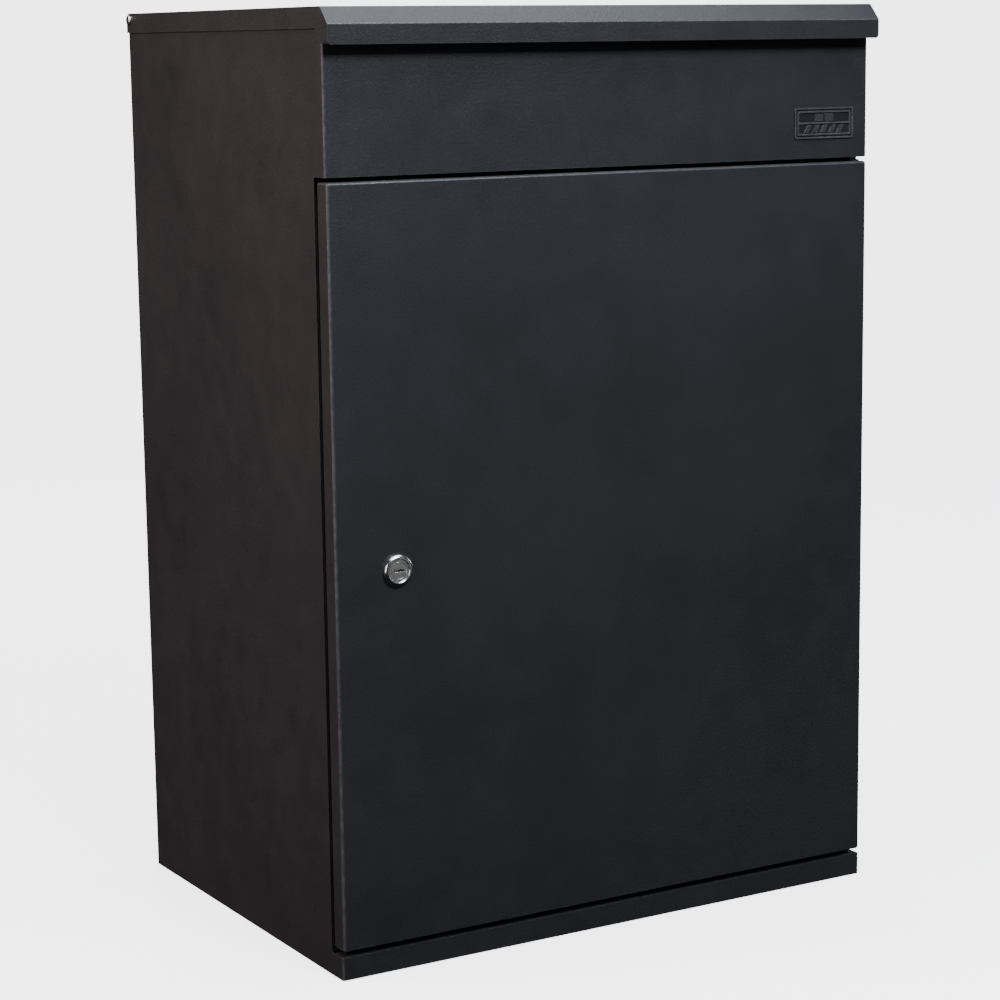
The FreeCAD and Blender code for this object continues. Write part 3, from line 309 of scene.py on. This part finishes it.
def stage_floor():
    """A wide pale floor just under the box, whose far parts fade into the paper-white distance."""
    mesh = bpy.data.meshes.new("floor")
    corners = [(-FLOOR_HALF, -FLOOR_HALF, 0), (FLOOR_HALF, -FLOOR_HALF, 0),
               (FLOOR_HALF, FLOOR_HALF, 0), (-FLOOR_HALF, FLOOR_HALF, 0)]
    mesh.from_pydata(corners, [], [(0, 1, 2, 3)])
    floor = bpy.data.objects.new("floor", mesh)
    bpy.context.scene.collection.objects.link(floor)
    floor.location = (0, 0, -FLOOR_DROP)
    material, nodes, shader, where = new_material("floor")
    away = nodes.add("ShaderNodeVectorMath", operation="LENGTH")
    nodes.link(where, away.inputs[0])
    far = nodes.spread(away.outputs["Value"], *FLOOR_FADE, 0.0, 1.0)
    mottle = nodes.spread(nodes.noise(where, 3.0, 4.0, 0.6), 0.3, 0.7, 0.0, 0.03)
    near_tone = nodes.blend(mottle, (0.82, 0.82, 0.81), (0.70, 0.70, 0.69))
    nodes.link(nodes.blend(far, near_tone, (0.0, 0.0, 0.0)), shader.inputs["Base Color"])
    shader.inputs["Emission Color"].default_value = (*WHITE, 1.0)
    nodes.link(nodes.spread(far, 0.0, 1.0, 0.75 * PAPER, PAPER), shader.inputs["Emission Strength"])
    shader.inputs["Roughness"].default_value = 0.9
    shader.inputs["Specular IOR Level"].default_value = 0.0
    mesh.materials.append(material)
    floor.visible_glossy = False
    floor.visible_diffuse = False


def soft_light(name, place, target, size, power, colour):
    """A rectangular studio light that the camera itself doesn't see."""
    data = bpy.data.lights.new(name, "AREA")
    data.shape = "RECTANGLE"
    data.size, data.size_y = size
    data.energy = power
    data.color = colour
    light = bpy.data.objects.new(name, data)
    bpy.context.scene.collection.objects.link(light)
    light.location = place
    light.rotation_mode = "QUATERNION"
    aim = Vector(target) - Vector(place)
    light.rotation_quaternion = aim.to_track_quat("-Z", "Y")
    light.visible_camera = False


def studio():
    """Paper-white surroundings, and soft lights from every side that are warm at the left."""
    world = bpy.data.worlds.new("studio")
    bpy.context.scene.world = world
    world.use_nodes = True
    nodes = Nodes(world.node_tree)
    output = nodes.add("ShaderNodeOutputWorld")
    direction = nodes.add("ShaderNodeSeparateXYZ")
    nodes.link(nodes.add("ShaderNodeTexCoord").outputs["Generated"], direction.inputs[0])
    ambient = nodes.add("ShaderNodeBackground")
    ambient.inputs["Color"].default_value = (0.90, 0.94, 1.0, 1.0)
    nodes.link(nodes.spread(direction.outputs["Z"], -0.45, 0.35, *AMBIENT),
               ambient.inputs["Strength"])
    paper = nodes.add("ShaderNodeBackground")
    paper.inputs["Color"].default_value = (*WHITE, 1.0)
    paper.inputs["Strength"].default_value = PAPER
    mix = nodes.add("ShaderNodeMixShader")
    seen = nodes.add("ShaderNodeLightPath").outputs["Is Camera Ray"]
    nodes.link(seen, mix.inputs[0])
    nodes.link(ambient.outputs[0], mix.inputs[1])
    nodes.link(paper.outputs[0], mix.inputs[2])
    nodes.link(mix.outputs[0], output.inputs["Surface"])
    for light in LIGHTS:
        soft_light(*light)


# where the camera stands in metres, its azimuth, elevation and roll in degrees, and its lens in mm
CAMERA_PLACE = (-0.99783, -1.68674, 0.62545)
CAMERA_ANGLES = (-30.53, 9.767, 0.71)
CAMERA_SENSOR = 36.0
CAMERA_LENS = 95.585
CAMERA_REACH = 200.0


def photo_camera():
    """The camera, standing at the box's front left and looking a little down on it."""
    azimuth, elevation, roll = (math.radians(angle) for angle in CAMERA_ANGLES)
    forward = Vector((-math.sin(azimuth) * math.cos(elevation),
                      math.cos(azimuth) * math.cos(elevation), -math.sin(elevation)))
    right = forward.cross(Vector((0, 0, 1))).normalized()
    down = forward.cross(right)
    across = math.cos(roll) * right + math.sin(roll) * down
    up = math.sin(roll) * right - math.cos(roll) * down
    data = bpy.data.cameras.new("camera")
    data.sensor_width = CAMERA_SENSOR
    data.lens = CAMERA_LENS
    data.clip_end = CAMERA_REACH
    camera = bpy.data.objects.new("camera", data)
    bpy.context.scene.collection.objects.link(camera)
    turn = Matrix((across, up, -forward)).transposed()
    camera.matrix_world = Matrix.Translation(CAMERA_PLACE) @ turn.to_4x4()
    bpy.context.scene.camera = camera


stage_floor()
studio()
photo_camera()
